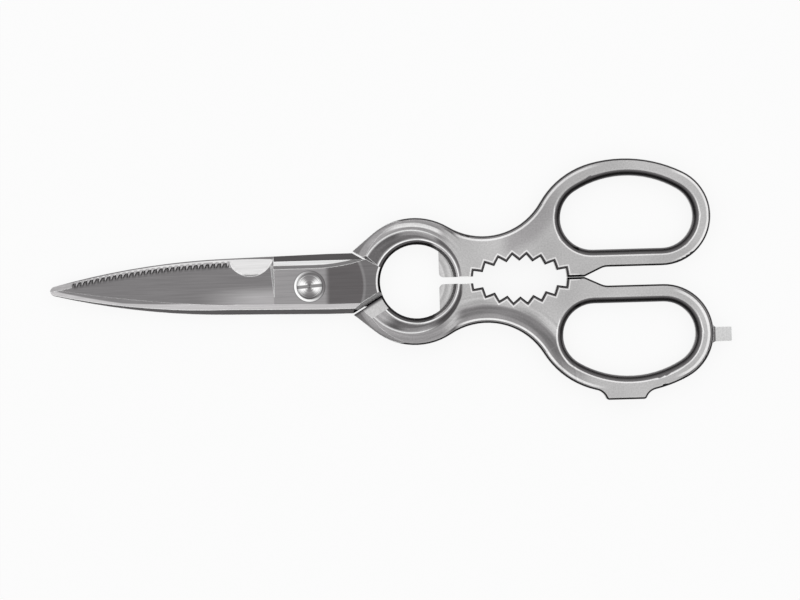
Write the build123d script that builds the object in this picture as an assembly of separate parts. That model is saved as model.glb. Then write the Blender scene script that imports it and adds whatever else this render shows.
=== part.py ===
from build123d import *
import math
import os

# Kitchen shears: two forged halves that turn on one screw.
# X runs from the pivot towards the handles, Y across the halves and Z up through their thickness.
# The origin is on the pivot's axis, in the plane of the handles' backs. Sizes are in millimetres.

# Thickness of the halves, and the gaps between them
handle_t = 7.0
handle_mid_share = 0.5
blade_t = 3.0
lap_gap = 0.1
shoulder_gap = 0.45
nose_gap = 0.1
strip_gap = 2.1

# The centreline that each half is drawn on passes this far above the pivot
centre_y = 0.6

# Ring between the pivot and the gripper
ring_x = 33.1
ring_hole_r = 11.4
ring_r = 20.1
ring_back = 0.6
ring_dip = 0.5
ring_rim_w = 1.1
ring_crest_r = 17.4
ring_bevel_angle = 22.0
dish_r = 15.7
dish_d = 0.9

# Lugs that lift a crown cap, one in each half
lug_chord = 6.9
lug_t = 2.2
lug_corner_r = 1.4
lug_root = 0.5

# Gripper between the ring and the finger loops
grip_x = 64.9
grip_r = 22.0
grip_rise = 5.5
tooth_count = 7
tooth_pitch = 4.0
tooth_depth = 1.95
tooth_bevel = 0.35

# Neck and finger loops
neck_w = 7.87
loop_x = 87.6
loop_span = 21.3
loop_y = 18.1
loop_end_r = 9.8
loop_crown_r = 30.2
loop_band = 5.4
loop_edge_r = 2.4
back_crown_r = 40.6
flare_in = 5.9
flare_down = 7.8
flare_band = 5.82
outer_edge_r = 0.9

# Noses, where the closed handles meet, and the hollow that follows them
nose_l = 6.2
nose_r = 1.2
crook_l = 7.5
crook_r = 5.0

# Tapping pad on the back half's loop, a little nearer to the pivot than the loop's middle
pad_back = 1.45
pad_l = 12.7
pad_rise = 2.0
pad_corner_r = 1.0
pad_dip_r = 4.0

# Screwdriver tab on the back half's loop
tab_l = 5.8
tab_w = 4.6
tab_out = 0.7
tab_root_t = 4.0
tab_tip_t = 1.2
tab_dip_r = 1.5
tab_corner_r = 0.4

# Blades
blade_l = 80.1
tip_r = 1.5
belly_x = 21.0
belly_w = 8.7
heel_w = 9.3
edge_inset = 0.9
edge_heel_w = 8.3
side_r = 8.0
edge_land = 0.15
edge_lean = 50.0
spine_land = 0.8
spine_lean = 38.0
spine_face_w = 3.1
spine_face_fall = 9.0
taper_x = 25.0
taper_fall = 1.5

# Ricasso, the flat part of each half round the pivot, and the shoulder that ends it
shoulder_x = 14.2
shoulder_out = 0.5
shoulder_angle = 31.0
shoulder_bevel_w = 0.9
toe_w = 4.0
toe_d = 0.5
ricasso_w = 7.3
step_w = 2.4
step_slope_w = 1.1
step_slope_d = 0.8
step_ledge_d = 0.2
step_curve_x = 1.7
step_curve_r = 53.0
free_bevel_w = 1.4
free_bevel_d = 1.0

# Ground face of each blade, which falls from the spine to the edge
plunge_x = 10.9
plunge_lean = 42.0
grind_start_w = 3.9
grind_lead = 8.5
grind_fall = 6.3

# Bone notch and micro-serration in the front blade's edge
notch_x = 18.1
notch_r = 6.9
notch_d = 4.3
notch_lip = 0.7
scoop_r = 0.48
scoop_pitch = 1.8
scoop_bite = 0.35
scoop_rise = 50.0
scoop_slant = 12.0
scoop_l = 8.0
scoop_first_x = 25.8
scoop_last_x = 73.6

# Pivot screw, its washer and its nut
screw_r = 2.5
bore_clearance = 0.05
thread_clearance = 0.02
head_r = 4.0
head_rim_t = 0.4
head_t = 1.5
slot_w = 1.0
slot_d = 0.8
slot_turn = 4.0
screw_end_gap = 0.1
washer_r = 4.9
washer_t = 0.5
washer_edge_w = 0.9
washer_edge_t = 0.2
washer_float = 0.03
nut_r = 4.6
nut_head_t = 1.6
nut_barrel_r = 3.6
nut_floor = 0.5
nut_float = 0.15
nut_edge = 0.3
spanner_r = 0.6
spanner_x = 2.6
spanner_d = 0.4

# Values that only the drawing needs
overrun = 2.0
shortest_line = 0.001
least_turn = 0.000001

# Places worked out from the sizes above
mid_z = handle_t * handle_mid_share
lap_z = mid_z + lap_gap / 2
ricasso_z = lap_z + blade_t
far = blade_l + loop_x + loop_span


def bridge(before, after, radius):
    """Round of this radius that touches the rounds before and after it in a belt."""
    along_x = after[0] - before[0]
    along_y = after[1] - before[1]
    apart = math.hypot(along_x, along_y)
    reach_before = abs(radius - before[2])
    reach_after = abs(radius - after[2])
    foot = (apart**2 + reach_before**2 - reach_after**2) / (2 * apart)
    aside = math.copysign(math.sqrt(reach_before**2 - foot**2), radius)
    x = before[0] + (foot * along_x - aside * along_y) / apart
    y = before[1] + (foot * along_y + aside * along_x) / apart
    return x, y, radius


def belt(rounds):
    """Face inside a belt that runs anticlockwise from round to round, each (x, y, radius).

    A round of negative radius lies outside the belt and makes a hollow in the shape.
    A radius of zero makes a sharp corner.
    """
    leaving = []
    for before, after in zip(rounds, rounds[1:] + rounds[:1]):
        along_x = after[0] - before[0]
        along_y = after[1] - before[1]
        sine = (before[2] - after[2]) / math.hypot(along_x, along_y)
        turn = math.asin(max(-1.0, min(1.0, sine)))
        leaving.append(math.atan2(along_y, along_x) + turn - math.pi / 2)
    arcs = []
    for index, (x, y, radius) in enumerate(rounds):
        first = leaving[index - 1]
        side = math.copysign(1, radius)
        sweep = side * (leaving[index] - first) % (2 * math.pi)
        if sweep > 2 * math.pi - least_turn:
            sweep = 0
        angles = [first, first + side * sweep / 2, first + side * sweep]
        arcs.append([Vector(x + radius * math.cos(a), y + radius * math.sin(a)) for a in angles])
    edges = []
    for arc, ahead in zip(arcs, arcs[1:] + arcs[:1]):
        if (ahead[0] - arc[2]).length < shortest_line:
            ahead[0] = arc[2]
    for arc, ahead in zip(arcs, arcs[1:] + arcs[:1]):
        if (arc[2] - arc[0]).length > shortest_line:
            edges.append(ThreePointArc(*arc))
        if (ahead[0] - arc[2]).length > shortest_line:
            edges.append(Line(arc[2], ahead[0]))
    return make_face(Wire(edges))


def hollow_between(before, after, lowest):
    """Round of a hollow that touches two rounds and dips to this height between them."""
    rise_before = before[1] + before[2] - lowest
    rise_after = after[1] + after[2] - lowest
    square = 1 / (2 * rise_before) - 1 / (2 * rise_after)
    linear = after[0] / rise_after - before[0] / rise_before
    plain = before[0] ** 2 / (2 * rise_before) - after[0] ** 2 / (2 * rise_after)
    plain += after[2] - before[2] + (rise_before - rise_after) / 2
    root = math.sqrt(linear**2 - 4 * square * plain)
    places = [(side * root - linear) / (2 * square) for side in (-1, 1)]
    x = min(places, key=lambda place: abs(2 * place - before[0] - after[0]))
    radius = (x - after[0]) ** 2 / (2 * rise_after) - after[2] + rise_after / 2
    return x, lowest + radius, -radius


def slab(face, bottom, top):
    """Face raised into a solid between two heights."""
    return Pos(0, 0, bottom) * extrude(face, amount=top - bottom)


def prism(start, end, profile):
    """Solid of one section along the plan line from start to end.

    The section's points are (inwards, height), and inwards is to the left of the line.
    """
    along = Vector(end[0] - start[0], end[1] - start[1], 0)
    plane = Plane(origin=(start[0], start[1], 0), x_dir=(-along.Y, along.X, 0), z_dir=along)
    return extrude(plane * make_face(Polyline(*profile, close=True)), amount=along.length)


def top_bevel(start, end, width, depth, top):
    """What a bevel takes off the top of a solid, along its edge and past both ends of it."""
    along_x = end[0] - start[0]
    along_y = end[1] - start[1]
    past = overrun / math.hypot(along_x, along_y)
    start = (start[0] - past * along_x, start[1] - past * along_y)
    end = (end[0] + past * along_x, end[1] + past * along_y)
    slope = depth / width
    low = top - slope * (width + overrun)
    high = top + slope * overrun
    profile = [(width + overrun, high), (-overrun, low), (-overrun, high)]
    return prism(start, end, profile)


def flipped(shape):
    """Shape mirrored in the plane at half the handles' thickness."""
    return mirror(shape, about=Plane.XY.offset(mid_z))


def shoulder_point(y):
    """Corner on the shoulder's line, at this distance from the centreline."""
    return shoulder_x + (heel_w - y) / math.tan(math.radians(shoulder_angle)), y, 0


def belly_round(width, side):
    """Blade's long curve on one side of the centreline, which runs into the tip's round."""
    reach = belly_x + tip_round[0]
    radius = (reach**2 + width**2 - tip_r**2) / (2 * (width - tip_r))
    return -belly_x, side * (width - radius), radius


# Rounds of the blades' and the handles' outlines, on the centreline and with the loop at positive Y
tip_round = (-blade_l + tip_r, 0, tip_r)
ring_round = (ring_x - ring_back, -ring_dip, ring_r)
flare_r = math.hypot(flare_in, flare_down) + loop_end_r + flare_band
flare_round = (loop_x + flare_in, loop_y - flare_down, flare_r)
end_round = (loop_x + loop_span, loop_y, loop_end_r + loop_band)
crown_round = bridge(end_round, flare_round, back_crown_r)
neck_round = hollow_between(flare_round, ring_round, grip_rise + neck_w)
grip_half = grip_r * math.sin((tooth_count + 1) * tooth_pitch / (2 * grip_r))
nose_round = (grip_x + grip_half + nose_l - nose_r, nose_gap / 2 + nose_r, nose_r)
crook_y = loop_y - loop_end_r - loop_band - crook_r
crook_round = (nose_round[0] + crook_l, crook_y, -crook_r)


def pad_rounds():
    """Loop's back from its far end to its near one, with the tapping pad and its hollows."""
    x = loop_x + loop_span / 2 - pad_back
    y = crown_round[1] + back_crown_r + pad_rise - pad_corner_r
    last = (x + pad_l / 2 - pad_corner_r, y, pad_corner_r)
    first = (x - pad_l / 2 + pad_corner_r, y, pad_corner_r)
    flanks = []
    for side, corner, past in ((1, last, end_round), (-1, first, flare_round)):
        hollow = bridge(*(crown_round, corner)[::side], -pad_dip_r)
        past_line = Vector(past[0] - crown_round[0], past[1] - crown_round[1])
        hollow_line = Vector(hollow[0] - crown_round[0], hollow[1] - crown_round[1])
        if side * past_line.cross(hollow_line).Z > 0:
            flanks.append([crown_round, hollow])
        else:
            flanks.append([bridge(*(past, corner)[::side], -pad_dip_r)])
    return flanks[0] + [last, first] + flanks[1][::-1]


def tab():
    """Screwdriver tab, with a little of the loop that it grows from."""
    y = loop_y + tab_out
    reach = end_round[2] + tab_dip_r
    tab_end_x = end_round[0] + end_round[2] + tab_l
    rounds = [end_round]
    for side in (-1, 1):
        dip_y = y + side * (tab_w / 2 + tab_dip_r)
        dip_x = end_round[0] + math.sqrt(reach**2 - (dip_y - loop_y) ** 2)
        corner_y = y + side * (tab_w / 2 - tab_corner_r)
        pair = [(dip_x, dip_y, -tab_dip_r), (tab_end_x - tab_corner_r, corner_y, tab_corner_r)]
        rounds += pair[::-side]
    root_x = end_round[0] + end_round[2] - loop_band / 2
    half_root = tab_root_t / 2
    half_tip = tab_tip_t / 2
    section = Plane.XZ * make_face(
        Polyline(
            (root_x, mid_z - half_root),
            (tab_end_x - tab_l, mid_z - half_root),
            (tab_end_x, mid_z - half_tip),
            (tab_end_x, mid_z + half_tip),
            (tab_end_x - tab_l, mid_z + half_root),
            (root_x, mid_z + half_root),
            close=True,
        )
    )
    return slab(belt(rounds), 0, handle_t) & extrude(section, amount=far, both=True)


def gripper_cut(grow):
    """Toothed space of one half, seen in plan and grown outwards by a bevel's width."""
    points = []
    for step in range(-tooth_count - 1, tooth_count + 2):
        angle = step * tooth_pitch / (2 * grip_r)
        in_notch = (step + tooth_count) % 2 == 0
        radius = grip_r + grow + (tooth_depth if in_notch else 0)
        height = grip_rise - grip_r + radius * math.cos(angle)
        points.append((grip_x + radius * math.sin(angle), height))
    points.append((points[-1][0], -strip_gap))
    points.append((points[0][0], -strip_gap))
    return make_face(Polyline(*points, close=True))


def gripper_bevel():
    """Bevel along the top edges of the teeth."""
    low = Pos(0, 0, handle_t - tooth_bevel) * gripper_cut(0)
    high = Pos(0, 0, handle_t + tooth_bevel) * gripper_cut(2 * tooth_bevel)
    return loft([low.face(), high.face()], ruled=True)


def finger_opening():
    """Oval that the fingers pass through: two end rounds, a straight side and a crown."""
    near = (loop_x, loop_y, loop_end_r)
    away = (loop_x + loop_span, loop_y, loop_end_r)
    return belt([near, away, bridge(away, near, loop_crown_r)])


def ring_bevel():
    """Bevel of the ring's outside, wide at the shoulder and gone at the ring's top."""
    crest_r = ring_r - ring_dip
    crest_x = ring_x - ring_crest_r + crest_r
    outer = crest_r + ring_r
    drop = (outer - crest_r) * math.tan(math.radians(ring_bevel_angle))
    section = Plane.XZ * make_face(
        Polyline(
            (-crest_r, handle_t),
            (-outer, handle_t - drop),
            (-outer, handle_t + overrun),
            (-crest_r, handle_t + overrun),
            close=True,
        )
    )
    return Pos(crest_x, 0, 0) * revolve(section, Axis.Z, -90)


def ring_dish():
    """Shallow hollow in the ring's face, nearer to the pivot than the hole is."""
    radius = (dish_r**2 + dish_d**2) / (2 * dish_d)
    x = ring_x - ring_crest_r + dish_r
    return Pos(x, 0, handle_t - dish_d + radius) * Sphere(radius)


def lug():
    """Cap-lifting lug, which fills the end of the ring's hole on this side of the gap."""
    x = ring_x + lug_chord
    low = strip_gap / 2
    corners = [(x + lug_corner_r, low + lug_corner_r, lug_corner_r)]
    corners += [(x + ring_r, low, 0), (x + ring_r, ring_r, 0), (x, ring_r, 0)]
    disc = Pos(ring_x, 0) * Circle(ring_hole_r + lug_root)
    return slab(belt(corners) & disc, mid_z - lug_t / 2, mid_z + lug_t / 2)


def handle(with_tools):
    """Handle of one half, from its shoulder to its finger loop."""
    rounds = [nose_round, crook_round, end_round]
    rounds += pad_rounds() if with_tools else [crown_round]
    shoulder = (shoulder_point(heel_w + shoulder_out), shoulder_point(nose_gap / 2))
    rounds += [flare_round, neck_round, ring_round, *shoulder]
    body = slab(belt(rounds), 0, handle_t)
    rims = []
    for edge in body.edges().filter_by(Plane.XY):
        middle = edge @ 0.5
        if abs(middle.X - shoulder_point(middle.Y)[0]) > shortest_line:
            rims.append(edge)
    body = fillet(rims, outer_edge_r)
    if with_tools:
        body += tab()
    opening = finger_opening()
    body -= slab(opening, -overrun, handle_t + overrun)
    rims = []
    for edge in body.edges().filter_by(Plane.XY):
        middle = edge @ 0.5
        if (Pos(0, 0, middle.Z) * opening.wire()).distance_to(middle) < shortest_line:
            rims.append(edge)
    body = fillet(rims, loop_edge_r)
    strip = Pos((ring_x + grip_x) / 2, 0) * Rectangle(grip_x - ring_x, strip_gap)
    body -= slab(strip, -overrun, handle_t + overrun)
    body -= slab(gripper_cut(0), -overrun, handle_t + overrun)
    for cut in (gripper_bevel(), ring_bevel(), ring_dish()):
        body -= cut
        body -= flipped(cut)
    body -= top_bevel(*shoulder, shoulder_bevel_w, handle_t - ricasso_z, handle_t)
    body -= flipped(top_bevel(*shoulder, toe_w, toe_d, handle_t))
    return body


def blade_side(width, heel_x, heel, side, inset):
    """All that lies inside one long side of the blade, after an inset from that side."""
    belly_y, radius = belly_round(width, 1)[1:]
    past_x = -blade_l - side_r
    past_y = belly_y + math.sqrt((radius - side_r) ** 2 - (past_x + belly_x) ** 2)
    rounds = [
        (past_x, past_y, side_r - inset),
        (-belly_x, belly_y, radius - inset),
        (heel_x, heel - side_r, side_r - inset),
        (far, heel - inset, 0),
        (far, -far, 0),
        (-far, -far, 0),
    ]
    return belt([(x, side * y, r) for x, y, r in rounds][::-side])


def bevelled_side(width, heel_x, heel, side, land, lean):
    """All that a bevel leaves along one long side of the blade, above a land."""
    slope = math.tan(math.radians(lean))
    low = blade_side(width, heel_x, heel, side, -slope * (land + blade_t))
    high = blade_side(width, heel_x, heel, side, slope * (blade_t - land + shoulder_gap))
    faces = [Pos(0, 0, lap_z - blade_t) * low, Pos(0, 0, ricasso_z + shoulder_gap) * high]
    return loft([face.face() for face in faces], ruled=True)


def ricasso_step():
    """Step down to the ricasso's edge: a slope and a ledge that curve out at the shoulder."""
    low = ricasso_z - step_slope_d
    fall = step_ledge_d / (step_w - step_slope_w)
    profile = [
        (step_w, ricasso_z),
        (step_w - step_slope_w, low),
        (-overrun, low - fall * (step_w - step_slope_w + overrun)),
        (-overrun, ricasso_z + overrun),
        (step_w, ricasso_z + overrun),
    ]
    straight = prism((step_curve_x, ricasso_w), (-plunge_x - overrun, ricasso_w), profile)
    turned_profile = [(step_curve_r - step_w + inwards, z) for inwards, z in profile]
    section = Plane.XZ * make_face(Polyline(*turned_profile, close=True))
    sweep = math.degrees(math.asin((shoulder_x + ricasso_w) / step_curve_r))
    axis_place = Pos(step_curve_x, ricasso_w - step_w + step_curve_r) * Rot(0, 0, -90)
    return straight + axis_place * revolve(section, Axis.Z, sweep)


def ground_space():
    """Space left of the plunge, where the blade's face is ground."""
    slope = math.tan(math.radians(plunge_lean))
    reach = blade_t + overrun
    section = Polyline(
        (slope * overrun - plunge_x, ricasso_z + overrun),
        (-far, ricasso_z + overrun),
        (-far, ricasso_z - reach),
        (-slope * reach - plunge_x, ricasso_z - reach),
        close=True,
    )
    return extrude(Plane.XZ * make_face(section), amount=far, both=True)


def grind():
    """What the grinding takes off: all above a plane that falls towards the edge."""
    slope = math.tan(math.radians(grind_fall))
    lead = math.tan(math.radians(grind_lead))
    profile = [
        (-overrun, ricasso_z + slope * overrun),
        (far, ricasso_z - slope * far),
        (far, ricasso_z + slope * overrun),
    ]
    start = (-far, -grind_start_w - lead * (far - plunge_x))
    end = (far, -grind_start_w + lead * (far + plunge_x))
    return prism(start, end, profile)


def notch():
    """Bone notch, a round bite that widens towards the blade's face."""
    y = belly_w - edge_inset - notch_d + notch_r
    slope = notch_lip / blade_t
    low_r = notch_r - slope * overrun
    high_r = notch_r + slope * (blade_t + overrun)
    height = blade_t + 2 * overrun
    return Pos(-notch_x, y, lap_z + blade_t / 2) * Cone(low_r, high_r, height)


def scoops():
    """Micro-serration: round scoops that climb the edge's bevel at one pitch."""
    x, y, radius = belly_round(belly_w - edge_inset, 1)
    cuts = []
    for step in range(math.floor((scoop_last_x - scoop_first_x) / scoop_pitch) + 1):
        turn = math.asin((scoop_first_x - belly_x + step * scoop_pitch) / radius)
        out = radius + scoop_r / math.sin(math.radians(scoop_rise)) - scoop_bite
        place = Pos(x - out * math.sin(turn), y + out * math.cos(turn), lap_z)
        axis = Rot(0, 0, math.degrees(turn) + scoop_slant) * Rot(90 - scoop_rise, 0, 0)
        cuts.append(place * axis * Cylinder(scoop_r, scoop_l))
    return cuts


def blade(with_teeth):
    """Blade and ricasso of one half, as far as its shoulder."""
    heel_corner = (shoulder_x - shoulder_gap / math.sin(math.radians(shoulder_angle)), -heel_w, 0)
    free_end = (heel_corner[0] + heel_w / math.tan(math.radians(shoulder_angle)), 0, 0)
    shoulder = shoulder_point(ricasso_w)
    rounds = [tip_round, belly_round(belly_w, -1)]
    rounds += [(shoulder_x - side_r, side_r - heel_w, side_r)]
    rounds += [heel_corner, free_end, shoulder_point(nose_gap / 2), shoulder]
    rounds += [(-plunge_x, ricasso_w, 0), (-plunge_x, edge_heel_w, 0)]
    rounds += [(-plunge_x, edge_heel_w - side_r, side_r), belly_round(belly_w - edge_inset, 1)]
    body = slab(belt(rounds), lap_z, ricasso_z)
    spine = (belly_w, shoulder_x - side_r, heel_w, -1)
    body &= bevelled_side(*spine, spine_land, spine_lean)
    face_land = blade_t - spine_face_w * math.tan(math.radians(spine_face_fall))
    facet = bevelled_side(*spine, face_land, 90 - spine_face_fall)
    body &= facet
    body &= Pos(-taper_x, 0, ricasso_z) * Rot(0, -taper_fall, 0) * Pos(taper_x, 0, -ricasso_z) * facet
    edge_w = belly_w - edge_inset
    space = ground_space()
    body -= space - bevelled_side(edge_w, -plunge_x, edge_heel_w, 1, edge_land, edge_lean)
    body -= space & grind()
    body -= ricasso_step()
    body -= top_bevel(heel_corner, free_end, free_bevel_w, free_bevel_d, ricasso_z)
    if with_teeth:
        body -= notch()
        body -= scoops()
    return body


def ring_hole():
    """Hole of the ring, with a bevelled rim on each face."""
    rim_r = ring_hole_r + ring_rim_w + overrun
    section = Polyline(
        (0, -overrun),
        (rim_r, -overrun),
        (ring_hole_r, ring_rim_w),
        (ring_hole_r, handle_t - ring_rim_w),
        (rim_r, handle_t + overrun),
        (0, handle_t + overrun),
        close=True,
    )
    return Pos(ring_x, 0) * revolve(Plane.XZ * make_face(section), Axis.Z)


def half(is_front):
    """One half of the shears, with its loop at positive Y and its blade above the lap."""
    return handle(not is_front) + blade(is_front) - ring_hole() + lug()


def front_half():
    """Half that carries the notch and the serration, bored for the screw's shank."""
    body = Pos(0, centre_y, 0) * half(True)
    return body - slab(Circle(screw_r + bore_clearance), lap_z - overrun, handle_t + overrun)


def back_half():
    """Half that carries the pad and the tab, bored for the nut from its back."""
    body = Pos(0, centre_y, handle_t) * Rot(180, 0, 0) * half(False)
    body -= slab(Circle(nut_barrel_r + bore_clearance), -overrun, lap_z)
    return body - slab(Circle(nut_r + bore_clearance), -overrun, nut_head_t)


def turned(profile):
    """Solid turned about the pivot's axis from (radius, height) points."""
    return revolve(Plane.XZ * make_face(Polyline(*profile, close=True)), Axis.Z)


def pivot_nut():
    """Headed sleeve nut, let into the back half from behind."""
    barrel_top = mid_z - lap_gap / 2 - nut_float
    profile = [
        (0, 0),
        (nut_r - nut_edge, 0),
        (nut_r, nut_edge),
        (nut_r, nut_head_t),
        (nut_barrel_r, nut_head_t),
        (nut_barrel_r, barrel_top),
        (screw_r + thread_clearance, barrel_top),
        (screw_r + thread_clearance, nut_floor),
        (0, nut_floor),
    ]
    body = turned(profile)
    for side in (-1, 1):
        body -= slab(Pos(side * spanner_x, 0) * Circle(spanner_r), -overrun, spanner_d)
    return body


def spring_washer():
    """Washer under the screw's head, with a conical edge."""
    bottom = ricasso_z + washer_float
    profile = [
        (screw_r + bore_clearance, bottom),
        (washer_r, bottom),
        (washer_r, bottom + washer_edge_t),
        (washer_r - washer_edge_w, bottom + washer_t),
        (screw_r + bore_clearance, bottom + washer_t),
    ]
    return turned(profile)


def pivot_screw():
    """Slotted screw with a low domed head, which runs through both halves into the nut."""
    seat = ricasso_z + washer_float + washer_t
    bottom = nut_floor + screw_end_gap
    dome_t = head_t - head_rim_t
    dome_r = (head_r**2 + dome_t**2) / (2 * dome_t)
    shank = [
        (0, bottom),
        (screw_r - nut_edge, bottom),
        (screw_r, bottom + nut_edge),
        (screw_r, seat + head_rim_t),
        (0, seat + head_rim_t),
    ]
    dome = Pos(0, 0, seat + head_t - dome_r) * Sphere(dome_r)
    body = (slab(Circle(head_r), seat, seat + head_t) & dome) + turned(shank)
    slot = Rot(0, 0, slot_turn) * Rectangle(2 * head_r + overrun, slot_w)
    return body - slab(slot, seat + head_t - slot_d, seat + head_t + overrun)


nodes = {
    "front_half": front_half,
    "back_half": back_half,
    "pivot_nut": pivot_nut,
    "spring_washer": spring_washer,
    "pivot_screw": pivot_screw,
}

if __name__ == "__main__":
    os.makedirs("parts", exist_ok=True)
    for name, build in nodes.items():
        shape = build()
        export_step(shape, "parts/" + name + ".step")
        print(name, round(shape.volume, 1), shape.bounding_box())
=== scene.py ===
# %% [markdown]
# # Kitchen shears: the looks
# These are kitchen shears forged from stainless steel. Two halves turn on one screw.
# The solids come from the CAD model, with every facet, tooth and notch in place, so this
# lesson is about steel: how a blasted handle, a ground blade and a polished bevel differ,
# and how light from above makes them read.

# %% Load the frame
import math

import bpy
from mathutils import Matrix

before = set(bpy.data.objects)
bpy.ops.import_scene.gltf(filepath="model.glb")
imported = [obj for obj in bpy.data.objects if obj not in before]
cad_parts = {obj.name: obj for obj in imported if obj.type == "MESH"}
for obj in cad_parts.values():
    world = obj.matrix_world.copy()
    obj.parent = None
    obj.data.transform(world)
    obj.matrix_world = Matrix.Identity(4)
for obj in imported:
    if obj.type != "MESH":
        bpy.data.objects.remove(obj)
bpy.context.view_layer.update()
print("nodes:", sorted(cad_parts))

# %% [markdown]
# ## The camera
# The photograph looks straight down on the shears, which are turned a little on the table.
# A real product camera stands back and uses a long lens, so that tall walls don't lean
# outwards. The lens length follows from the distance and from how wide a strip of table
# the picture shows.

# %% Camera straight above
MM = 0.001
PICTURE_WIDTH_PX = 800
PICTURE_HEIGHT_PX = 600
MM_PER_PX = 0.308
PIVOT_PX = (309.5, 286.4)
TURN_DEG = 1.6
CAMERA_HEIGHT = 1.2
SENSOR_MM = 36.0
TOP_OF_HANDLES = 7 * MM
FARTHEST_SEEN = 20

turn = math.radians(TURN_DEG)
right_of_pivot = (PICTURE_WIDTH_PX / 2 - PIVOT_PX[0]) * MM_PER_PX * MM
above_pivot = (PIVOT_PX[1] - PICTURE_HEIGHT_PX / 2) * MM_PER_PX * MM
camera_x = right_of_pivot * math.cos(turn) + above_pivot * math.sin(turn)
camera_y = above_pivot * math.cos(turn) - right_of_pivot * math.sin(turn)
strip_width = PICTURE_WIDTH_PX * MM_PER_PX * MM

lens = bpy.data.cameras.new("long_lens")
lens.sensor_width = SENSOR_MM
lens.lens = SENSOR_MM * CAMERA_HEIGHT / strip_width
lens.clip_end = FARTHEST_SEEN
camera = bpy.data.objects.new("camera", lens)
camera.location = (camera_x, camera_y, TOP_OF_HANDLES + CAMERA_HEIGHT)
camera.rotation_euler = (0, 0, -turn)
bpy.context.scene.collection.objects.link(camera)
bpy.context.scene.camera = camera
print("lens in mm:", round(lens.lens, 1))
print("camera over the point:", round(camera_x, 4), round(camera_y, 4))

# %% [markdown]
# ## Two small helpers
# Colours are written as the hex values that a paint chart gives. Blender computes in linear
# light, so one function converts them. A second function adds a node to a material with its
# settings, its values and its links, which keeps the material cells short.

# %% Helpers for colours and nodes
def linear(hex_colour):
    """Linear RGBA of an sRGB hex colour."""
    channels = [int(hex_colour[i : i + 2], 16) / 255 for i in (1, 3, 5)]
    curve = [c / 12.92 if c <= 0.04045 else ((c + 0.055) / 1.055) ** 2.4 for c in channels]
    return (*curve, 1.0)


def add(tree, kind, values=None, links=None, **settings):
    """New node of a kind, with plain values and incoming links by socket."""
    made = tree.nodes.new(kind)
    for name, value in settings.items():
        setattr(made, name, value)
    for socket, value in (values or {}).items():
        made.inputs[socket].default_value = value
    for socket, source in (links or {}).items():
        tree.links.new(source, made.inputs[socket])
    return made


print("steel grey in linear light:", [round(c, 3) for c in linear("#C8C6C2")])

# %% [markdown]
# ## The table
# A sheet of white paper under the shears gives the photograph's plain ground. Paper scatters
# light evenly, so a diffuse shader is enough. The picture's ground is pure white with hardly
# a shadow, so most of what a view sees of the paper is lit by the paper itself, and the
# rest still takes the soft shadow. Mirrors see the same paper as the camera does.

# %% Paper floor
FLOOR_SIZE = 6.0
FLOOR_DROP = 0.02 * MM
SELF_LIT_SHARE = 0.88

bpy.ops.mesh.primitive_plane_add(size=FLOOR_SIZE, location=(camera_x, camera_y, -FLOOR_DROP))
paper_floor = bpy.context.object
paper_floor.name = "paper_floor"
# Uncoated paper: its pressed fibres scatter light evenly, so it shows no highlight.
paper = bpy.data.materials.new("white_paper")
paper.use_nodes = True
tree = paper.node_tree
tree.nodes.clear()
path = add(tree, "ShaderNodeLightPath")
seen = add(tree, "ShaderNodeMath", operation="MAXIMUM",
           links={0: path.outputs["Is Camera Ray"], 1: path.outputs["Is Glossy Ray"]})
seen = add(tree, "ShaderNodeMath", operation="MAXIMUM",
           links={0: seen.outputs[0], 1: path.outputs["Is Transmission Ray"]})
share = add(tree, "ShaderNodeMath", operation="MULTIPLY",
            values={1: SELF_LIT_SHARE}, links={0: seen.outputs[0]})
matt = add(tree, "ShaderNodeBsdfDiffuse", values={"Color": linear("#FAFAFA")})
glow = add(tree, "ShaderNodeEmission", values={"Color": (1, 1, 1, 1), "Strength": 1.0})
mix = add(tree, "ShaderNodeMixShader",
          links={0: share.outputs[0], 1: matt.outputs[0], 2: glow.outputs[0]})
add(tree, "ShaderNodeOutputMaterial", links={"Surface": mix.outputs[0]})
paper_floor.data.materials.append(paper)
print("paper floor", FLOOR_SIZE, "m wide")

# %% [markdown]
# ## The light
# Polished steel shows its surroundings, so the light is a room, not a lamp. A broad soft
# light hangs overhead, brighter on one side than on the other, and the room darkens towards
# the horizon, as a studio does. Flat faces show the overhead light, bevels show the sides.
# The ramp below gives the brightness by height, from the horizon at 0 to straight
# overhead at 1.

# %% Brightness of the room by height
HEIGHT_LIGHT = ((0.0, 0.10), (0.26, 0.17), (0.5, 0.5), (0.7, 1.0), (0.87, 1.15),
                (0.966, 0.95), (1.0, 0.85))

world = bpy.data.worlds.new("studio_room")
bpy.context.scene.world = world
world.use_nodes = True
tree = world.node_tree
tree.nodes.clear()
where = add(tree, "ShaderNodeTexCoord")
parts = add(tree, "ShaderNodeSeparateXYZ", links={0: where.outputs["Generated"]})
height = add(tree, "ShaderNodeValToRGB", links={0: parts.outputs["Z"]})
ramp = height.color_ramp
ramp.elements[0].position = HEIGHT_LIGHT[0][0]
ramp.elements[0].color = (HEIGHT_LIGHT[0][1],) * 3 + (1,)
ramp.elements[1].position = HEIGHT_LIGHT[-1][0]
ramp.elements[1].color = (HEIGHT_LIGHT[-1][1],) * 3 + (1,)
for position, level in HEIGHT_LIGHT[1:-1]:
    element = ramp.elements.new(position)
    element.color = (level,) * 3 + (1,)
print("room levels by height:", HEIGHT_LIGHT)

# %% [markdown]
# ### The lighter side of the room
# A softbox on one side makes the bevels that face it bright and leaves the others dark. A
# factor that grows along Y does the same, strongest at the horizon and faintly turned round
# overhead. It never falls under a least level, because a real room has no black corner.
# The camera itself sees plain white behind the table.

# %% Lean of the light and the backdrop
SIDE_AT_TOP = -0.25
SIDE_AT_HORIZON = 1.2
LEAST_SIDE = 0.35

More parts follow.
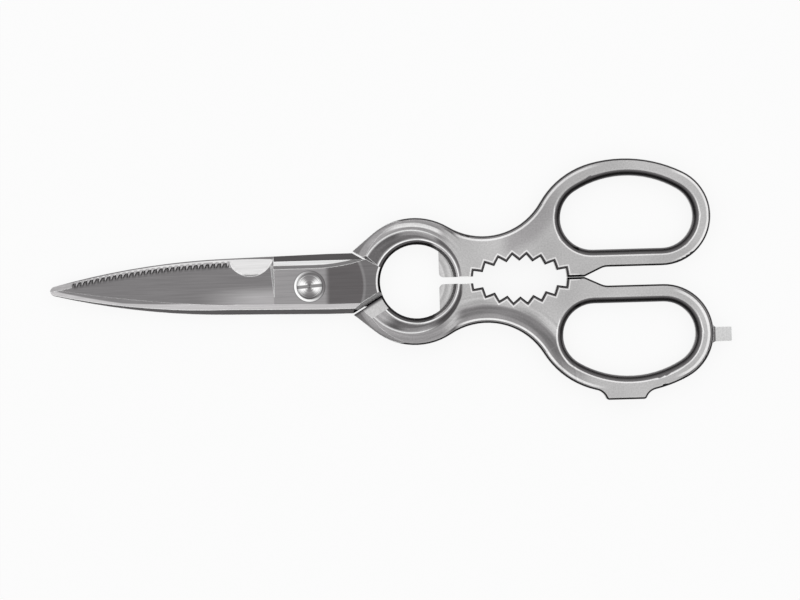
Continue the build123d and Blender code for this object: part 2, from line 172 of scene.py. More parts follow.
lean = add(tree, "ShaderNodeMapRange",
           values={"From Min": 0.0, "From Max": 1.0,
                   "To Min": SIDE_AT_HORIZON, "To Max": SIDE_AT_TOP},
           links={"Value": parts.outputs["Z"]})
side = add(tree, "ShaderNodeMath", operation="MULTIPLY_ADD", values={2: 1.0},
           links={0: parts.outputs["Y"], 1: lean.outputs[0]})
side = add(tree, "ShaderNodeMath", operation="MAXIMUM", values={1: LEAST_SIDE},
           links={0: side.outputs[0]})
level = add(tree, "ShaderNodeVectorMath", operation="MULTIPLY",
            links={0: height.outputs[0], 1: side.outputs[0]})
path = add(tree, "ShaderNodeLightPath")
room = add(tree, "ShaderNodeBackground", links={"Color": level.outputs[0]})
backdrop = add(tree, "ShaderNodeBackground", values={"Color": (1, 1, 1, 1)})
mix = add(tree, "ShaderNodeMixShader",
          links={0: path.outputs["Is Camera Ray"], 1: room.outputs[0], 2: backdrop.outputs[0]})
add(tree, "ShaderNodeOutputWorld", links={"Surface": mix.outputs[0]})
bpy.context.scene.view_settings.view_transform = "Standard"
print("side light at the horizon and overhead:", SIDE_AT_HORIZON, SIDE_AT_TOP)

# %% [markdown]
# ## The steel of the two halves
# Each half is forged from one bar of stainless steel and then finished in steps. The
# handles are blasted with fine grit, which gives a satin grey. The blades are ground along
# their length, which leaves fine lines. The flats round the screw are polished, and every
# edge is rounded on a belt. One steel with several finishes, and with the highlights and
# shade that are painted over them, is easiest to keep in one material, where each has a
# mask that says where it lies.
#
# The masks need to know the place on the half. The halves are twins, and each is drawn on
# its own centreline, in millimetres, with X from the pivot to the handle, Y towards its own
# finger loop and Z up through it. The back half lies upside down, so it flips two axes.

# %% Frames of the halves: scale, offset and mirror
CENTRE_Y = 0.6
THICKNESS = 7.0
OWN_FRAMES = {"front": ((1000, 1000, 1000), (0, -CENTRE_Y, 0), (1, 1, 1)),
              "back": ((1000, -1000, -1000), (0, CENTRE_Y, THICKNESS), (1, -1, -1))}
print("frames of the halves:", OWN_FRAMES)

# %% [markdown]
# ### Where a point lies
# Object coordinates travel with a moving half, so they are the right start. The nodes below
# turn them into the half's own millimetres. The surface's direction comes along too, because
# a wall and a level face differ in finish: "flat" is 1 on a level face and 0 on an upright
# wall, and "up" tells a face that looks towards the top of the picture from one that looks
# towards its foot.

# %% Place and direction
def place_and_direction(tree, scale, offset, mirror):
    """A half's own millimetres, and the direction that its surface faces."""
    where = add(tree, "ShaderNodeTexCoord")
    own = add(tree, "ShaderNodeVectorMath", operation="MULTIPLY_ADD",
              values={1: scale, 2: offset}, links={0: where.outputs["Object"]})
    facing = add(tree, "ShaderNodeVectorMath", operation="MULTIPLY",
                 values={1: mirror}, links={0: where.outputs["Normal"]})
    plan = add(tree, "ShaderNodeVectorMath", operation="MULTIPLY",
               values={1: (1, 1, 0)}, links={0: own.outputs[0]})
    place = add(tree, "ShaderNodeSeparateXYZ", links={0: own.outputs[0]})
    turned = add(tree, "ShaderNodeSeparateXYZ", links={0: facing.outputs[0]})
    found = {"own": own.outputs[0], "facing": facing.outputs[0], "plan": plan.outputs[0],
             "x": place.outputs[0], "y": place.outputs[1], "z": place.outputs[2],
             "nx": turned.outputs[0], "ny": turned.outputs[1], "nz": turned.outputs[2]}
    height = add(tree, "ShaderNodeMath", operation="SUBTRACT", values={1: THICKNESS / 2},
                 links={0: found["z"]})
    found["height"] = height.outputs[0]
    for name, source in {"flat": "nz", "aside": "y", "from_middle": "height"}.items():
        size = add(tree, "ShaderNodeMath", operation="ABSOLUTE", links={0: found[source]})
        found[name] = size.outputs[0]
    upwards = add(tree, "ShaderNodeMath", operation="MULTIPLY", values={1: mirror[1]},
                  links={0: found["ny"]})
    found["up"] = upwards.outputs[0]
    return found


print("a half is", THICKNESS, "mm thick and lies", CENTRE_Y, "mm off the pivot")

# %% [markdown]
# ### Distances from the round forms
# The handle is drawn from arcs: the ring, its dish, the neck's hollow, the flare of the loop
# and the arc of teeth. Belt-ground bands run along these arcs, so the distance from an arc's
# middle tells where a band lies. Seen in plan, that is one distance node for each middle.

# %% Middles of the round forms, in a half's own millimetres
RING_X = 33.1
DISH_X = 31.4
ROUND_X, ROUND_Y = 32.5, -0.5
NECK_X, NECK_Y = 54.1, 33.9
FLARE_X, FLARE_Y = 93.5, 10.3
GRIP_X, GRIP_Y = 64.9, -16.5
LOOP_X, LOOP_Y = 98.25, 18.1
LOOP_END_X = 108.9
MIDDLES = {"from_ring": (RING_X, 0, 0), "from_dish": (DISH_X, 0, 0),
           "from_neck": (NECK_X, NECK_Y, 0), "from_round": (ROUND_X, ROUND_Y, 0),
           "from_flare": (FLARE_X, FLARE_Y, 0), "from_grip": (GRIP_X, GRIP_Y, 0),
           "from_loop_end": (LOOP_END_X, LOOP_Y, 0)}


def add_distances(tree, found, pivot_y):
    """Distances in plan from the pivot and from the middle of each round form."""
    for name, point in {**MIDDLES, "from_pivot": (0, pivot_y, 0)}.items():
        apart = add(tree, "ShaderNodeVectorMath", operation="DISTANCE",
                    values={1: point}, links={0: found["plan"]})
        found[name] = apart.outputs["Value"]


print("round forms measured:", sorted(MIDDLES))

# %% [markdown]
# ### Borders between the regions
# The handle ends at a slanted shoulder, where the other half's blade fits. The neck ends at
# a slanted line too, where the loop starts to flare. A line's border is one dot product with
# the direction across it. The loop's inner wall is told from its outer wall by whether the
# surface faces the middle of the loop.

# %% Borders of the shoulder, the neck and the loop
SHOULDER_X = 14.2
HEEL_Y = 9.3
SHOULDER_DEG = 31.0
TOWARDS_FLARE = (0.514, 0.858, 0)
NECK_END_MM = 56.9


def add_borders(tree, found):
    """Millimetres past the shoulder and past the neck, and facing into the loop."""
    slant = math.radians(SHOULDER_DEG)
    across = (math.sin(slant), math.cos(slant), 0)
    folded = add(tree, "ShaderNodeCombineXYZ", links={0: found["x"], 1: found["aside"]})
    along = add(tree, "ShaderNodeVectorMath", operation="DOT_PRODUCT",
                values={1: across}, links={0: folded.outputs[0]})
    past = add(tree, "ShaderNodeMath", operation="SUBTRACT",
               values={1: SHOULDER_X * across[0] + HEEL_Y * across[1]},
               links={0: along.outputs["Value"]})
    found["past_shoulder"] = past.outputs[0]
    along = add(tree, "ShaderNodeVectorMath", operation="DOT_PRODUCT",
                values={1: TOWARDS_FLARE}, links={0: found["plan"]})
    past = add(tree, "ShaderNodeMath", operation="SUBTRACT", values={1: NECK_END_MM},
               links={0: along.outputs["Value"]})
    found["past_neck"] = past.outputs[0]
    inwards = add(tree, "ShaderNodeVectorMath", operation="SUBTRACT",
                  values={0: (LOOP_X, LOOP_Y, 0)}, links={1: found["plan"]})
    towards = add(tree, "ShaderNodeVectorMath", operation="DOT_PRODUCT",
                  links={0: inwards.outputs[0], 1: found["facing"]})
    found["into_loop"] = towards.outputs["Value"]


print("the shoulder slants by", SHOULDER_DEG, "degrees")

# %% [markdown]
# ### Sharp edges
# The crisp edge between two ground faces is broken with a stone, and that hair-thin bevel
# catches the light. It is too fine to model, so its glint is painted as a highlight. The
# bevel shader finds the place without geometry: where its rounded direction leaves the true
# one, the point lies near a sharp edge.

# %% Creases
CREASE_MM = 0.28
CREASE_SAMPLES = 6


def add_crease(tree, found):
    """A value that rises from 0 close to a sharp edge."""
    surface = add(tree, "ShaderNodeNewGeometry")
    rounded = add(tree, "ShaderNodeBevel", samples=CREASE_SAMPLES,
                  values={"Radius": CREASE_MM * MM})
    alike = add(tree, "ShaderNodeVectorMath", operation="DOT_PRODUCT",
                links={0: rounded.outputs[0], 1: surface.outputs["Normal"]})
    crease = add(tree, "ShaderNodeMath", operation="SUBTRACT", values={0: 1.0},
                 links={1: alike.outputs["Value"]})
    found["crease"] = crease.outputs[0]


print("an edge is broken over", CREASE_MM, "mm")

# %% [markdown]
# ### The gripper's teeth
# A row of teeth is cut along an arc, to grip a bottle's cap or a nut. The finish follows
# the zigzag of the teeth, so the mask needs the same zigzag: a ping-pong of the angle round
# the arc's middle gives it, and the distance outside it follows.

# %% Zigzag of the teeth
GRIP_R = 22.0
TOOTH_DEPTH = 1.95
TEETH_PER_RADIAN = 11.0


def add_teeth(tree, found):
    """Millimetres outside the zigzag of the gripper's teeth."""
    beside = add(tree, "ShaderNodeVectorMath", operation="SUBTRACT",
                 values={1: (GRIP_X, GRIP_Y, 0)}, links={0: found["plan"]})
    beside = add(tree, "ShaderNodeSeparateXYZ", links={0: beside.outputs[0]})
    angle = add(tree, "ShaderNodeMath", operation="ARCTAN2",
                links={0: beside.outputs[0], 1: beside.outputs[1]})
    teeth = add(tree, "ShaderNodeMath", operation="MULTIPLY", values={1: TEETH_PER_RADIAN},
                links={0: angle.outputs[0]})
    tooth = add(tree, "ShaderNodeMath", operation="PINGPONG", values={1: 1.0},
                links={0: teeth.outputs[0]})
    outline = add(tree, "ShaderNodeMath", operation="MULTIPLY_ADD",
                  values={1: TOOTH_DEPTH, 2: GRIP_R}, links={0: tooth.outputs[0]})
    from_teeth = add(tree, "ShaderNodeMath", operation="SUBTRACT",
                     links={0: found["from_grip"], 1: outline.outputs[0]})
    found["from_teeth"] = from_teeth.outputs[0]


print("the teeth lie", GRIP_R, "mm from their arc's middle")

# %% [markdown]
# ### The blade's edges
# The blade's cutting edge and its spine are two long arcs. Grinding leaves a facet along
# the spine, which widens towards the tip. The distance inside each arc tells how far a point
# is from the edge, whatever the place along the blade.

# %% Arcs of the cutting edge and the spine
BELLY_X = -21.0
EDGE_Y, EDGE_R = -260.16, 267.96
SPINE_Y, SPINE_R = 226.80, 235.50
FACET_FLARE = 0.08
FACET_FLARE_X = -58.0


def add_blade_edges(tree, found):
    """Millimetres inside the cutting edge, inside the spine and across the facet."""
    for name, middle_y, radius in (("from_edge", EDGE_Y, EDGE_R),
                                   ("from_spine", SPINE_Y, SPINE_R)):
        reach = add(tree, "ShaderNodeVectorMath", operation="DISTANCE",
                    values={1: (BELLY_X, middle_y, 0)}, links={0: found["plan"]})
        inside = add(tree, "ShaderNodeMath", operation="SUBTRACT", values={0: radius},
                     links={1: reach.outputs["Value"]})
        found[name] = inside.outputs[0]
    before_tip = add(tree, "ShaderNodeMath", operation="MAXIMUM",
                     values={1: FACET_FLARE_X}, links={0: found["x"]})
    in_facet = add(tree, "ShaderNodeMath", operation="MULTIPLY_ADD",
                   values={1: -FACET_FLARE},
                   links={0: before_tip.outputs[0], 2: found["from_spine"]})
    found["in_facet"] = in_facet.outputs[0]


print("radius of the cutting edge and of the spine in mm:", EDGE_R, SPINE_R)

# %% [markdown]
# ### The scoops of the serration
# Small round scoops, cut at a slant, climb from the cutting edge. Their outline is an arch
# with steep sides. The distance from the nearest scoop's middle comes from a ping-pong
# along the blade, and a high power of it makes the arch.

# %% Arches of the scoops
SCOOP_FIRST_X = 25.8
SCOOP_PITCH = 1.8
SCOOP_SLANT = 0.2
ARCH_STEEPNESS = 3.0
ARCH_POWER = 4.0


def add_scoops(tree, found):
    """Millimetres from the nearest scoop's middle, and inside the scoops' arches."""
    slanted = add(tree, "ShaderNodeMath", operation="MULTIPLY_ADD",
                  values={1: SCOOP_SLANT}, links={0: found["from_edge"], 2: found["x"]})
    step = add(tree, "ShaderNodeMath", operation="ADD", values={1: SCOOP_FIRST_X},
               links={0: slanted.outputs[0]})
    nearest = add(tree, "ShaderNodeMath", operation="PINGPONG",
                  values={1: SCOOP_PITCH / 2}, links={0: step.outputs[0]})
    found["from_scoop"] = nearest.outputs[0]
    steep = add(tree, "ShaderNodeMath", operation="POWER", values={1: ARCH_POWER},
                links={0: found["from_scoop"]})
    arch = add(tree, "ShaderNodeMath", operation="MULTIPLY_ADD",
               values={1: -ARCH_STEEPNESS},
               links={0: steep.outputs[0], 2: found["from_edge"]})
    found["arch"] = arch.outputs[0]


print("a scoop every", SCOOP_PITCH, "mm")

# %% [markdown]
# ### Masks
# A mask is a number from 0 to 1 that fades over a short stretch, because no real finish
# stops on a hairline. Each is one measure that rises between two values, and a finish that
# has several limits multiplies its masks. A table of limits reads better than a long chain
# of nodes, so one function builds the chain from such a table.

# %% Measures together, and masks from a table of limits
def measures_of(tree, scale, offset, mirror):
    """All that the masks of one half are made from, by name."""
    found = place_and_direction(tree, scale, offset, mirror)
    add_distances(tree, found, offset[1])
    add_borders(tree, found)
    add_crease(tree, found)
    add_teeth(tree, found)
    add_blade_edges(tree, found)
    add_scoops(tree, found)
    return found


def mask(tree, found, limits):
    """Product of smooth steps, each (measure, value where it is 0, value where it is 1)."""
    product = None
    for measure, off, on in limits:
        step = add(tree, "ShaderNodeMapRange", interpolation_type="SMOOTHSTEP",
                   values={"From Min": off, "From Max": on}, links={"Value": found[measure]})
        if product is None:
            product = step.outputs[0]
        else:
            both = add(tree, "ShaderNodeMath", operation="MULTIPLY",
                       links={0: product, 1: step.outputs[0]})
            product = both.outputs[0]
    return product


print("a mask fades between its two values")

# %% [markdown]
# ### The finishes and the painted light
# Each row of the tables below is one finish, or one painted highlight or painted shade: its
# name, its colour, its roughness and the limits of where it lies. A last word, "front" or
# "back", keeps it to one half, where the real halves catch the room differently and their
# painted light differs. A later row covers an earlier one. Light from above makes a level
# face look as bright as its colour, while a steep face mirrors the horizon or the table, so
# the belt-ground edges are painted a deeper tone, a painted reflection of the darker
# horizon. The limits that many rows share have names.

# %% Limits that many finishes share
ON_RICASSO = ("past_shoulder", 0.05, -0.05)
ON_HANDLE = ("past_shoulder", -0.05, 0.05)
ON_BLADE = ("x", -10.8, -11.2)
LEVEL = ("flat", 0.90, 0.98)
NOT_UPRIGHT = ("flat", 0.08, 0.20)
print("level faces:", LEVEL, "walls left out:", NOT_UPRIGHT)

# %% [markdown]
# ### Neck and flare
# The neck is a slim bar that curves from the ring to the finger loop. Blasting leaves its
# faces matt. Along each edge a bright line and a darker band are painted: a painted
# highlight and painted shade for the belt-rounded edge. The soft shade across the face is
# painted too, for the room's reflection in a surface that isn't quite level after forging,
# so it is a broad band that fades on both sides.

# %% Finishes of the neck
AT_NECK = [ON_HANDLE, ("x", 44.0, 48.0), ("past_neck", 0.3, -0.3), LEVEL]
AT_FLARE = [("past_neck", -0.3, 0.3), ("x", 92.0, 84.0), LEVEL]
AT_RING = [ON_HANDLE, ("x", 24.0, 30.0), ("x", 47.0, 44.0), LEVEL]
NECK_FINISHES_AND_PAINTED_LIGHT = (
    # Upright walls are a little darker: partly unpolished steel, partly painted shade for the
    # darker horizon that they mirror.
    ("wall", "#A9A8A7", 0.34, [("flat", 0.25, 0.12)]),
    # Painted shade: a soft darker band across the face, for the room's reflection in a face
    # that isn't quite level.
    ("neck_shade", "#979596", 0.34, [*AT_NECK, ("from_neck", 27.0, 25.6)], "back"),
    ("neck_shade_core", "#838182", 0.34, [
        *AT_NECK, ("from_neck", 26.4, 25.2), ("from_neck", 22.6, 24.2),
    ], "back"),
    ("flare_shade", "#979596", 0.34, [
        *AT_FLARE, ("from_flare", 18.9, 20.3), ("x", 88, 76),
    ], "back"),
    ("flare_shade_core", "#838182", 0.34, [
        *AT_FLARE, ("from_flare", 19.5, 20.7), ("from_flare", 23.3, 21.7), ("x", 86, 76),
    ], "back"),
    ("flare_shade", "#ABA9AA", 0.34, [
        ON_HANDLE, ("x", 58, 63), ("x", 84, 70), ("from_neck", 29, 25), LEVEL,
    ], "front"),
    # Painted shade along the outer edges, with painted highlight lines just inside them.
    ("ring_edge_shade", "#6E6C6D", 0.30, [*AT_RING, ("from_round", 18.7, 19.1)]),
    ("neck_glint", "#F6F5F5", 0.30, [*AT_NECK, ("from_neck", 22.2, 21.9)]),
    ("neck_edge_shade", "#706E6F", 0.30, [*AT_NECK, ("from_neck", 21.6, 21.3)]),
    ("flare_glint", "#F6F5F5", 0.30, [*AT_FLARE, ("from_flare", 23.7, 24.0)]),
    ("flare_edge_shade", "#706E6F", 0.30, [*AT_FLARE, ("from_flare", 24.4, 24.7)]),
)
print("neck:", [row[0] for row in NECK_FINISHES_AND_PAINTED_LIGHT])

# %% [markdown]
# ### Finger loops and tab
# The loops are rounded all the way round, because fingers press on them, and buffed until
# the inner wall mirrors the table and the room. That reflection is painted: the wall is
# painted dark at its foot, lighter towards the face, and ends in a painted bright line. The
# outer edges of the whole handle are rounded on a belt and painted a darker tone as shade,
# deepest where they look away from the lighter side of the room. The tab at the end, a
# screwdriver, is milled flat and stays lighter than the loop.

# %% Finishes of the loops
TAB_X = 124.4
IN_LOOP = ("into_loop", 0.0, 1.0)
AT_LOOP = ("x", 72, 74)
AT_LOOP_END = [("x", 111.0, 116.0), ("x", TAB_X, TAB_X - 0.3), LEVEL]
LOOP_FINISHES_AND_PAINTED_LIGHT = (
    ("loop_end_glint", "#F2F1F1", 0.30, [
        ("x", 112, 120), ("flat", 0.9995, 0.998), ("flat", 0.95, 0.97), ("x", 125.2, 124.6),
    ]),
    # Painted highlight lines and a painted dark band of shade round the loop's end.
    ("loop_end_highlight", "#F6F5F5", 0.30, [*AT_LOOP_END, ("from_loop_end", 13.2, 13.5)], "back"),
    ("loop_end_highlight", "#F2F1F1", 0.30, [*AT_LOOP_END, ("from_loop_end", 13.8, 14.1)], "front"),
    ("loop_end_edge_shade", "#6A6869", 0.28, [*AT_LOOP_END, ("from_loop_end", 14.0, 14.3)], "back"),
    # Painted shade on the belt-rounded edges, darkest underneath on the side away from the
    # lighter room.
    ("belt_edge_shade", "#5A5859", 0.22, [("flat", 0.965, 0.90), NOT_UPRIGHT]),
    ("edge_underside_shade", "#4A494A", 0.22, [
        ON_HANDLE, ("flat", 0.80, 0.66), NOT_UPRIGHT, ("up", -0.1, 0.1),
    ]),
    ("edge_underside_shade", "#242224", 0.22, [
        ON_HANDLE, ("flat", 0.86, 0.74), NOT_UPRIGHT, ("up", 0.1, -0.1),
    ]),
    ("loop_face", "#C3C2C2", 0.36, [IN_LOOP, AT_LOOP, ("flat", 0.93, 0.95)]),
    # Painted reflection on the inner wall: dark as shade towards its foot, with a painted
    # highlight line at its top.
    ("inner_wall_shade", "#686667", 0.24, [IN_LOOP, AT_LOOP, ("flat", 0.982, 0.955), NOT_UPRIGHT]),
    ("inner_wall_foot_shade", "#2A282A", 0.20, [
        IN_LOOP, AT_LOOP, ("flat", 0.80, 0.60), NOT_UPRIGHT, ("up", 0.3, -0.1),
    ]),
    ("inner_wall_foot_shade", "#5A5859", 0.20, [
        IN_LOOP, AT_LOOP, ("flat", 0.80, 0.60), NOT_UPRIGHT, ("up", -0.1, 0.3),
    ]),
    ("loop_glint", "#F2F1F1", 0.30, [
        IN_LOOP, AT_LOOP, ("flat", 0.997, 0.992), ("flat", 0.972, 0.982), ("up", -0.09, -0.03),
    ]),
    ("tab", "#D8D8D8", 0.36, [("x", TAB_X, TAB_X + 0.4), LEVEL]),
    ("tab_root", "#6E6C6D", 0.30, [
        ("x", TAB_X - 1.1, TAB_X - 0.8), ("x", TAB_X + 0.5, TAB_X + 0.2),
    ]),
)
print("loops:", [row[0] for row in LOOP_FINISHES_AND_PAINTED_LIGHT])

# %% [markdown]
# ### Ring
# The ring between the handles lifts bottle caps. Its bevel and its dish are turned on a
# lathe and polished. Their reflection of the darker part of the room is painted as darker
# bands, with a painted thin highlight where one turned face meets the next. The lug in the
# hole is left matt. All these bands are circles, so the distances from the ring's and the
# dish's middles place them.

# %% Finishes of the ring
RING_HOLE_R = 11.4
RIM_R = 12.5
DISH_R = 15.7
IN_DISH = [ON_HANDLE, ("from_dish", DISH_R + 0.05, DISH_R - 0.15), ("flat", 0.85, 0.97)]
ON_BEVEL = [ON_HANDLE, ("from_dish", DISH_R + 0.3, DISH_R + 0.5), ("flat", 0.84, 0.90),
            ("x", 44, 40)]
RING_FINISHES_AND_PAINTED_LIGHT = (
    # The bevel's darker tone is painted: its reflection of the darker part of the room.
    ("ring_bevel", "#A2A0A1", 0.30, ON_BEVEL),
    ("ring_bevel_glint", "#F0EFEF", 0.28, [
        *ON_BEVEL, ("from_dish", DISH_R + 1.0, DISH_R + 1.4),
        ("from_dish", DISH_R + 2.6, DISH_R + 2.2), ("x", 22, 28), ("x", 43, 39),
    ], "front"),
    # Painted shade along the bevel's outline, and a painted highlight on the dish's crease.
    ("bevel_edge_shade", "#7E7C7D", 0.28, [
        ON_HANDLE, ("x", 31.0, 25.0), ("from_round", 19.3, 19.8), ("flat", 0.80, 0.88),
    ]),
    ("dish_crease_glint", "#F6F6F6", 0.25, [
        ON_HANDLE, ("from_dish", DISH_R + 0.32, DISH_R + 0.12), LEVEL, ("x", 42.0, 35.0),
    ]),
    # The dish's painted reflection: lighter at its shoulder and rim, painted dark as shade
    # between.
    ("dish_shoulder_reflection", "#A8A6A7", 0.26, IN_DISH),
    ("dish_left_shade", "#6E6C6D", 0.24, [
        *IN_DISH, ("x", 30, 26), ("from_dish", DISH_R - 0.2, DISH_R - 0.5),
    ]),
    ("ring_dish_shade", "#6E6C6D", 0.24, [*IN_DISH, ("from_dish", DISH_R - 0.4, DISH_R - 2.0)]),
    ("dish_right_shade", "#6A6869", 0.24, [
        ON_HANDLE, ("x", 38, 41), ("x", 47, 46), ("from_dish", DISH_R + 0.1, DISH_R - 0.2),
        ("flat", 0.5, 0.6),
    ]),
    ("dish_right_shade", "#545253", 0.24, [
        ON_HANDLE, ("x", 34, 42), ("x", 47.5, 46.5), ("from_dish", DISH_R + 0.6, DISH_R + 0.2),
        ("flat", 0.5, 0.6),
    ], "back"),
    ("dish_at_toe_reflection", "#B4B2B3", 0.26, [
        *IN_DISH, ("past_shoulder", 9.5, 5.5), ("y", 0.0, 0.1),
    ], "back"),
    ("dish_rim_reflection", "#A09E9F", 0.24, [
        ON_HANDLE, ("from_ring", RIM_R + 1.1, RIM_R + 0.8), ("flat", 0.85, 0.97),
    ]),
    ("rim_glint", "#FFFFFF", 0.24, [
        ON_HANDLE, ("from_ring", RIM_R + 0.72, RIM_R + 0.55), ("flat", 0.85, 0.97),
    ]),
    ("rim_shade", "#5A5859", 0.24, [
        ON_HANDLE, ("from_ring", RIM_R + 0.30, RIM_R + 0.15), ("flat", 0.60, 0.68),
        ("from_ring", RING_HOLE_R, RING_HOLE_R + 0.1),
    ]),
    ("rim_by_lug", "#B4B2B3", 0.30, [
        ON_HANDLE, ("x", 37.5, 39.5), ("from_ring", RIM_R + 0.35, RIM_R + 0.2), NOT_UPRIGHT,
    ]),
    ("lug", "#CDCCCC", 0.40, [
        ("from_ring", RING_HOLE_R + 0.1, RING_HOLE_R - 0.1), LEVEL, ("from_middle", 2.4, 2.2),
    ]),
)
print("ring:", [row[0] for row in RING_FINISHES_AND_PAINTED_LIGHT])

# %% [markdown]
# ### Ricasso and toe
# The ricasso is the flat block round the screw. It is surface-ground and then polished, so
# it is the smoothest part and mirrors the room sharply. That reflection is painted: dark on
# the handle's side of the screw, and a little lighter past a painted fine arc round it. The
# step along its side and the strip at its free end are milled, each with a bright face, and
# the strip's foot is painted near black as shade. The toe is the wide bevel of the other
# half's shoulder, which lies beside the free end and is blasted like the handle.

# %% Finishes of the ricasso
RICASSO_FINISHES_AND_PAINTED_LIGHT = (
    ("toe", "#D0CFCF", 0.34, [
        ("past_shoulder", 0.0, 0.1), ("past_shoulder", 4.05, 3.95), ("z", 0.62, 0.52), LEVEL,
        ("y", 0.0, 0.1),
    ]),
    ("ricasso_flat", "#A19FA0", 0.22, [ON_RICASSO, LEVEL]),
    # Painted reflection of the room on the polished flat: dark past the screw, a little lighter
    # beyond a painted arc.
    ("ricasso_dark_reflection", "#6B6869", 0.14, [ON_RICASSO, ("x", 4.4, 6.4), ("nz", 0.9, 0.98)]),
    ("ricasso_far_reflection", "#7A7879", 0.18, [
        ON_RICASSO, ("from_pivot", 16.4, 17.6), ("nz", 0.9, 0.98),
    ]),
    ("ricasso_arc_glint", "#8E8C8D", 0.18, [
        ON_RICASSO, ("from_pivot", 16.3, 16.9), ("from_pivot", 17.7, 17.1), ("nz", 0.9, 0.98),
    ]),
    ("free_end", "#E6E5E5", 0.42, [
        ON_RICASSO, ("nx", 0.15, 0.30), ("x", 9.0, 10.0), ("nz", 0.72, 0.80),
    ]),
    # Painted shade, near black, at the foot of the free end's strip.
    ("free_end_foot_shade", "#1C1B1C", 0.22, [
        ON_RICASSO, ("nx", 0.15, 0.30), ("x", 9.0, 10.0), ("nz", 0.80, 0.72), ("nz", 0.1, 0.3),
    ]),
    ("step_slope", "#B4B2B3", 0.26, [
        ON_RICASSO, ("z", 5.7, 5.8), ("z", 6.56, 6.50), ("y", 4.4, 4.8), ("nz", 0.70, 0.76),
        ("nz", 0.90, 0.86), ("x", -11.6, -11.0),
    ]),
    ("step_ledge", "#EAEAEA", 0.20, [
        ON_RICASSO, ("z", 6.2, 6.0), ("y", 4.8, 5.2), ("nz", 0.9, 0.96), ("x", -11.5, -10.9),
    ]),
)
print("ricasso:", [row[0] for row in RICASSO_FINISHES_AND_PAINTED_LIGHT])

# %% [markdown]
# ### Blade
# The blade is ground lengthwise on a wheel, down to a bevel along the cutting edge and a
# facet along the spine. Grinding lines scatter light across the blade, which makes it a
# medium grey. The scoops are cut last, with a small round wheel: each has a matt floor, a
# painted dark outline of shade and, between it and the next, a painted bright spike of the
# bevel. The painted glint of all sharp edges stands just before the scoops, because their
# rows have to cover it. The lighter patch at the heel, the plunge line and the notch's
# walls are painted highlights too.

# %% Finishes of the blade
LAP_Z = 3.55
IN_SCOOP = [("x", -24.6, -24.9), ("x", -73.6, -72.8), ("nz", 0.4, 0.5), ("y", 0.0, 0.5),
            ("z", LAP_Z, LAP_Z + 0.1)]
BLADE_FINISHES_AND_PAINTED_LIGHT = (
    ("ground_blade", "#838182", 0.30, [ON_BLADE, ("nz", 0.85, 0.95)]),
    # Painted sheen: a lighter soft patch on the blade near its heel.
    ("blade_heel_sheen", "#B4B2B3", 0.30, [
        ON_BLADE, ("x", -36.0, -16.0), ("y", 0.5, -3.5), ("nz", 0.85, 0.95),
    ]),
    ("spine_facet", "#C2C0C1", 0.18, [
        ON_RICASSO, ("ny", -0.05, -0.10), ("nz", 0.9, 0.96), ("in_facet", 6.5, 6.0),
    ]),
    ("facet_run_out", "#838182", 0.30, [
        ON_BLADE, ("ny", -0.05, -0.10), ("nz", 0.9, 0.96), ("in_facet", 6.0, 6.5),
    ]),
    ("edge_bevel", "#DAD8D9", 0.50, [
        ON_BLADE, ("ny", 0.2, 0.35), ("z", LAP_Z, LAP_Z + 0.2), ("nz", 0.2, 0.4),
    ]),
    ("crease_glint", "#FFFFFF", 0.32, [
        ("crease", 0.004, 0.02), ("from_ring", RIM_R + 0.4, RIM_R + 0.7),
    ]),
    ("scoop", "#838182", 0.60, [*IN_SCOOP, ("from_edge", -0.6, -0.4), ("from_edge", 2.6, 2.3)]),
    # Painted shade outlines the scoops, and a painted highlight spike stands between them.
    ("scoop_outline_shade", "#454344", 0.50, [
        *IN_SCOOP, ("arch", 0.36, 0.52), ("from_edge", 2.2, 1.4),
    ]),
    ("scoop_floor", "#8A8889", 0.60, [
        *IN_SCOOP, ("from_scoop", 0.42, 0.24), ("from_edge", 0.80, 1.10),
        ("from_edge", 2.6, 2.3),
    ]),
    ("scoop_spike_glint", "#E0DEDF", 0.50, [
        *IN_SCOOP, ("arch", 0.50, 0.34), ("from_edge", 1.8, 1.0),
    ]),
    # Painted highlights along the plunge line and on the notch's walls.
    ("plunge_glint", "#FFFFFF", 0.55, [
        ON_RICASSO, ("x", -14.0, -13.0), ("nx", -0.3, -0.5), ("x", -10.0, -10.5),
    ]),
    ("notch_wall_glint", "#FFFFFF", 0.25, [
        ("x", -26.0, -25.4), ("x", -11.0, -11.4), ("y", 3.4, 3.8), ("flat", 0.6, 0.4),
        ("z", LAP_Z, LAP_Z + 0.1),
    ]),
)
print("blade:", [row[0] for row in BLADE_FINISHES_AND_PAINTED_LIGHT])

# %% [markdown]
# ### Gripper and nose
# The teeth are milled across both handles, and their edges are broken with a file. From
# above each flank is painted as a thin dark line of shade with a painted highlight beside
# it. The noses at the end of the teeth nearly touch, and hardly any light gets into the gap
# between them, so the faces beside it are painted near black and its walls dark grey, as
# shade.

